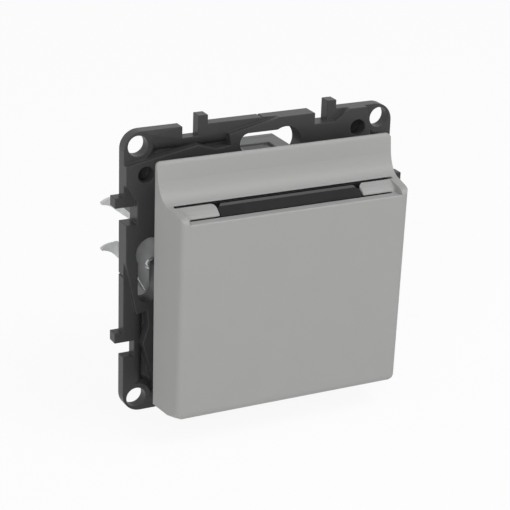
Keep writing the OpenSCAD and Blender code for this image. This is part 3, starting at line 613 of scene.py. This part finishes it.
class SWITCH_OT_lens(bpy.types.Operator):
    """Dresses the smoked lens"""

    bl_idname = "key_switch.lens"
    bl_label = "Lens"

    def execute(self, context):
        dress(context, "light_lens", LENS_ROUNDING * context.scene.switch_plastic.edge)
        return {"FINISHED"}


class SWITCH_OT_carrier(bpy.types.Operator):
    """Dresses the carrier, the card guide and the lever"""

    bl_idname = "key_switch.carrier"
    bl_label = "Carrier and guide"

    def execute(self, context):
        edge = INNER_ROUNDING * context.scene.switch_plastic.edge
        dress_all(context, ["mechanism_carrier", "card_guide", "card_lever"], edge)
        dress_all(context, ["lever_pivot_pin"], context.scene.switch_metal.edge)
        return {"FINISHED"}


class SWITCH_OT_light(bpy.types.Operator):
    """Dresses the board with its parts, lamp and pins, and adds the solder"""

    bl_idname = "key_switch.light"
    bl_label = "Light board"

    def execute(self, context):
        nodes = ["circuit_board", "board_parts", "indicator_lamp", "lamp_contact_pins"]
        dress_all(context, nodes, SMALL_METAL_ROUNDING * context.scene.switch_metal.edge)
        low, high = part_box("lamp_contact_pins")
        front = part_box("circuit_board")[0].y
        steps = 6
        angles = [i / steps * math.pi / 2 for i in range(steps)]
        dome = [(SOLDER_RADIUS * math.cos(a), front - SOLDER_HEIGHT * math.sin(a)) for a in angles]
        mesh = bmesh.new()
        for x in (low.x + PIN_INSET, high.x - PIN_INSET):
            rings = lathe(mesh, (x, (low.z + high.z) / 2), dome, 20)
            mesh.faces.new(rings[-1])
            mesh.faces.new(rings[0])
        add_piece(context, "solder_joints", mesh, "spring_steel", MAIN_BODY)
        return {"FINISHED"}


class SWITCH_OT_switch(bpy.types.Operator):
    """Dresses the inner switch and winds the plunger spring"""

    bl_idname = "key_switch.switch"
    bl_label = "Inner switch"

    def execute(self, context):
        metals = context.scene.switch_metal
        edge = INNER_ROUNDING * context.scene.switch_plastic.edge
        dress_all(context, ["switch_case", "plunger"], edge)
        dress_all(context, ["contact_blade", "common_contact", "fixed_contact"],
                  SMALL_METAL_ROUNDING * metals.edge)
        low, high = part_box("plunger_spring")
        axis = middle("plunger_spring")
        wire = metals.spring_wire / 2
        radius = (high.x - low.x) / 2 - wire
        steps = int(24 * SPRING_TURNS)
        start, end = low.y + wire, high.y - wire
        path = []
        for i in range(steps + 1):
            t = i / steps
            a = 2 * math.pi * SPRING_TURNS * t
            path.append(Vector((axis.x + radius * math.cos(a), start + (end - start) * t,
                                axis.z + radius * math.sin(a))))
        mesh = bmesh.new()
        tube(mesh, path, wire)
        coil = add_piece(context, "spring_coil", mesh, "spring_steel", MAIN_BODY)
        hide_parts("plunger_spring")
        travel = next(j for j in frame["joints"] if j["name"] == "plunger_slide")["range_m"][1]
        keep = 1 - travel / (high.y - low.y)
        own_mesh(coil)
        return {"FINISHED"}


class SWITCH_OT_housing(bpy.types.Operator):
    """Dresses the rear housing and its cover, and adds the collars of the wire holes"""

    bl_idname = "key_switch.housing"
    bl_label = "Rear housing"

    def execute(self, context):
        edge = context.scene.switch_plastic.edge
        dress_all(context, ["rear_housing", "rear_cover"], HOUSING_ROUNDING * edge)
        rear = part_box("rear_cover")[1].y
        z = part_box("terminal_bars")[0].z - WIRE_HOLE_GAP - WIRE_HOLE_RADIUS
        profile = [(WIRE_HOLE_RADIUS + out, rear + up) for out, up in COLLAR_OUTLINE]
        mesh = bmesh.new()
        for button in BUTTONS:
            lathe(mesh, (middle(button).x, z), profile, 40, closed=True)
        add_piece(context, "wire_collars", mesh, "housing_plastic", MAIN_BODY)
        return {"FINISHED"}


class SWITCH_OT_terminals(bpy.types.Operator):
    """Dresses the terminal bars, the clamp springs and the release buttons"""

    bl_idname = "key_switch.terminals"
    bl_label = "Terminals"

    def execute(self, context):
        dress_all(context, ["terminal_bars", "clamp_springs"],
                  TERMINAL_ROUNDING * context.scene.switch_metal.edge)
        dress_all(context, BUTTONS, context.scene.switch_plastic.edge)
        return {"FINISHED"}


class SWITCH_OT_screws(bpy.types.Operator):
    """Cuts the screws with their cross heads and threads"""

    bl_idname = "key_switch.screws"
    bl_label = "Screws"

    def execute(self, context):
        pitch = context.scene.switch_metal.thread_pitch
        for side in SIDES:
            node = side + "_claw_screw"
            low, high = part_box(node)
            centre = (middle(node).x, middle(node).z)
            head_r = (high.z - low.z) / 2
            mesh = bmesh.new()
            screw(mesh, centre, low.y, low.y + CLAW_HEAD_HEIGHT, high.y,
                  head_r, CLAW_SHANK_RADIUS, pitch)
            piece = add_piece(context, side + "_threaded_screw", mesh, "screw_steel", node)
            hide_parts(node)
        low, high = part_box("housing_screws")
        place = high.x - COVER_HEAD_RADIUS
        mesh = bmesh.new()
        for sx in (-1, 1):
            for sz in (-1, 1):
                screw(mesh, (sx * place, sz * place), high.y, high.y - COVER_HEAD_HEIGHT, low.y,
                      COVER_HEAD_RADIUS, COVER_SHANK_RADIUS, pitch)
        piece = add_piece(context, "cover_screws", mesh, "screw_steel", MAIN_BODY)
        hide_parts("housing_screws")
        return {"FINISHED"}


class SWITCH_OT_claws(bpy.types.Operator):
    """Dresses the claws and their pins"""

    bl_idname = "key_switch.claws"
    bl_label = "Claws"

    def execute(self, context):
        edge = SMALL_METAL_ROUNDING * context.scene.switch_metal.edge
        for side in SIDES:
            dress_all(context, [side + "_claw", side + "_claw_pin"], edge)
        return {"FINISHED"}


class SWITCH_OT_stage(bpy.types.Operator):
    """Sets up the floor, the lights and the camera"""

    bl_idname = "key_switch.stage"
    bl_label = "Stage"

    def execute(self, context):
        stage = context.scene.switch_stage
        self.floor(context, stage)
        self.world(context, stage)
        for name, (place, size, power) in LAMPS.items():
            self.lamp(context, name, place, size, getattr(stage, power))
        self.camera(context, stage)
        context.scene.view_settings.view_transform = "Standard"
        return {"FINISHED"}

    @staticmethod
    def seen_directly(f):
        """1 for rays that show the background: straight, mirrored or passed through."""
        straight = f.node("ShaderNodeLightPath", {}, {}, "Is Camera Ray")
        mirrored = f.node("ShaderNodeLightPath", {}, {}, "Is Glossy Ray")
        passed = f.node("ShaderNodeLightPath", {}, {}, "Is Transmission Ray")
        return straight.maths("MINIMUM", straight + mirrored + passed, 1.0)

    def floor(self, context, stage):
        """A wide pale floor under the lowest point of the object."""
        level = cad_bounds[0][2]
        mesh = bmesh.new()
        mesh.faces.new([mesh.verts.new((sx * FLOOR_HALF, sy * FLOOR_HALF, level))
                        for sx, sy in ((-1, -1), (1, -1), (1, 1), (-1, 1))])
        data = bpy.data.meshes.new("floor")
        mesh.to_mesh(data)
        mesh.free()
        f = Finish(bpy.data.materials.new("floor_paper"))
        seen = self.seen_directly(f)
        fibres = f.noise(0.5 * MM, 3)
        shade = f.mix(fibres, tint(stage.floor, 0.99), tint(stage.floor, 1.01))
        paper = f.node("ShaderNodeBsdfDiffuse", {}, {"Color": shade})
        glow = f.node("ShaderNodeEmission", {}, {"Color": (1, 1, 1, 1), "Strength": 1.0})
        surface = f.node("ShaderNodeMixShader", {}, {0: seen * FLOOR_GLOW, 1: paper, 2: glow})
        f.node("ShaderNodeOutputMaterial", {}, {"Surface": surface})
        data.materials.append(f.owner)
        floor = bpy.data.objects.new("floor", data)
        context.scene.collection.objects.link(floor)

    def world(self, context, stage):
        """Even light from all round, seen as white where rays show the background."""
        context.scene.world = bpy.data.worlds.new("studio")
        f = Finish(context.scene.world)
        seen = self.seen_directly(f)
        level = 1 - (1 - seen) * (1 - stage.ambient)
        shade = f.node("ShaderNodeBackground", {}, {"Color": (1, 1, 1, 1), "Strength": level})
        f.node("ShaderNodeOutputWorld", {}, {"Surface": shade})

    @staticmethod
    def lamp(context, name, place, size, power):
        """A square lamp at a place, turned to the origin."""
        data = bpy.data.lights.new(name, "AREA")
        data.size = size
        data.energy = power
        lamp = bpy.data.objects.new(name, data)
        context.scene.collection.objects.link(lamp)
        place = Vector(place)
        lamp.matrix_world = place.to_track_quat("Z", "Y").to_matrix().to_4x4()
        lamp.location = place

    @staticmethod
    def camera(context, stage):
        """The camera at its place, pitched, rolled and turned as the settings say."""
        data = bpy.data.cameras.new("camera")
        data.sensor_width = 36
        data.lens = stage.focal
        data.clip_start = 0.01
        camera = bpy.data.objects.new("camera", data)
        context.scene.collection.objects.link(camera)
        pitch, roll, yaw = stage.camera_turn
        level = Matrix(((1, 0, 0), (0, 0, -1), (0, 1, 0)))
        tilt = Matrix.Rotation(roll, 3, "Z") @ Matrix.Rotation(pitch, 3, "X")
        turn = tilt @ level @ Matrix.Rotation(yaw, 3, "Z")
        axes = Matrix((turn[0], -turn[1], -turn[2])).transposed()
        camera.matrix_world = Matrix.Translation(Vector(stage.camera_place)) @ axes.to_4x4()
        context.scene.camera = camera


class SWITCH_PT_panel(bpy.types.Panel):
    """Lists the pieces and their settings"""

    bl_label = "Key Card Switch"
    bl_idname = "SWITCH_PT_panel"
    bl_space_type = "VIEW_3D"
    bl_region_type = "UI"
    bl_category = "Key Card Switch"

    def draw(self, context):
        for operator in OPERATORS:
            self.layout.operator(operator.bl_idname)
        for name, cls in SETTINGS.items():
            column = self.layout.column()
            for setting in cls.__annotations__:
                column.prop(getattr(context.scene, name), setting)


SETTINGS = {
    "switch_plastic": PlasticSettings,
    "switch_metal": MetalSettings,
    "switch_stage": StageSettings,
}
OPERATORS = (
    SWITCH_OT_stage,
    SWITCH_OT_frame,
    SWITCH_OT_cover,
    SWITCH_OT_lens,
    SWITCH_OT_carrier,
    SWITCH_OT_light,
    SWITCH_OT_switch,
    SWITCH_OT_housing,
    SWITCH_OT_terminals,
    SWITCH_OT_screws,
    SWITCH_OT_claws,
)


def register():
    """Adds the settings, the operators and the panel to Blender."""
    for cls in (*SETTINGS.values(), *OPERATORS, SWITCH_PT_panel):
        bpy.utils.register_class(cls)
    for name, cls in SETTINGS.items():
        setattr(bpy.types.Scene, name, bpy.props.PointerProperty(type=cls))


def unregister():
    """Takes them out again."""
    for name in SETTINGS:
        delattr(bpy.types.Scene, name)
    for cls in (SWITCH_PT_panel, *reversed(OPERATORS), *reversed(SETTINGS.values())):
        bpy.utils.unregister_class(cls)


def main():
    """Builds the whole scene."""
    register()
    for operator in OPERATORS:
        group, action = operator.bl_idname.split(".")
        getattr(getattr(bpy.ops, group), action)()


if __name__ == "__main__":
    main()
